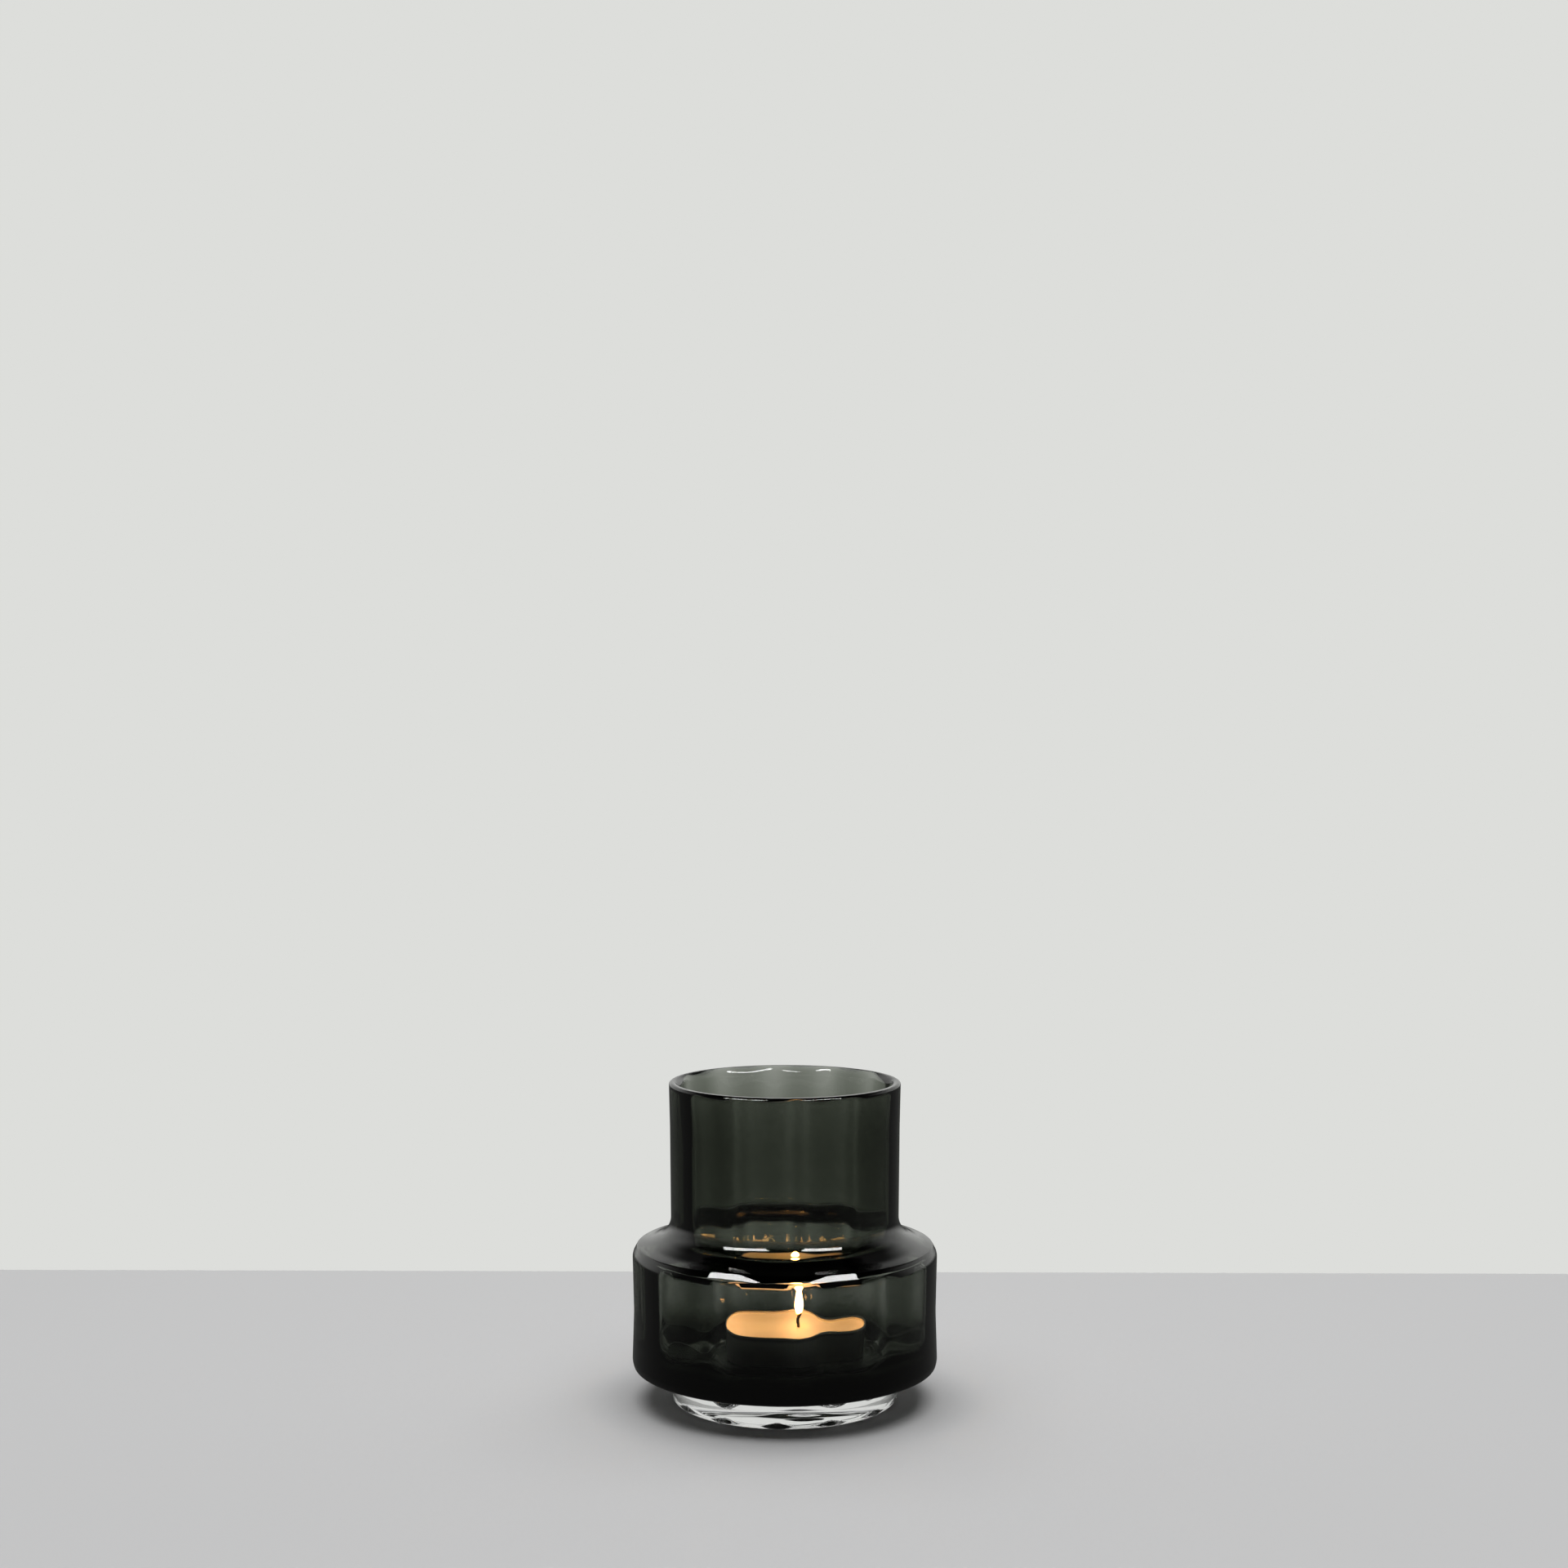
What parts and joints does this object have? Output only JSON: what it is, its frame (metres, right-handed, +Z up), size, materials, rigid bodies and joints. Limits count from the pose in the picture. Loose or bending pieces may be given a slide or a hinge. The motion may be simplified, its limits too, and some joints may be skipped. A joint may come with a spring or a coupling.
{
  "type": "tealight holder",
  "caption": "Smoked blown-glass tealight holder: straight neck over a squat rounded body with optic ribs inside, on a fused clear-glass foot, with a foil tealight in it.",
  "frame": {"origin": "centre of the clear foot's underside, on the glass's axis", "axes": "+Z up along the glass's axis, from the foot to the rim; +Y away from the side seen in use; +X to its right"},
  "size_m": [0.0962, 0.0962, 0.1],
  "materials": {
    "smoked_glass": "polished, grey-green, see-through",
    "clear_glass": "polished, colourless",
    "foil": "bright drawn foil",
    "wax": "soft satin wax, translucent, melted on top",
    "tinned_steel": "satin tinned sheet",
    "cotton": "braided cotton, charred at the tip"
  },
  "bodies": {
    "holder": {"glass_vessel": "smoked_glass", "clear_foot": "clear_glass"},
    "tealight": {"tealight_cup": "foil", "wax": "wax", "wick_sustainer": "tinned_steel", "wick": "cotton"}
  },
  "joints": [
    {"name": "tealight_lift", "type": "slide", "parent": "holder", "child": "tealight", "axis": [0, 0, 1], "range_m": [0, 0.11]}
  ]
}
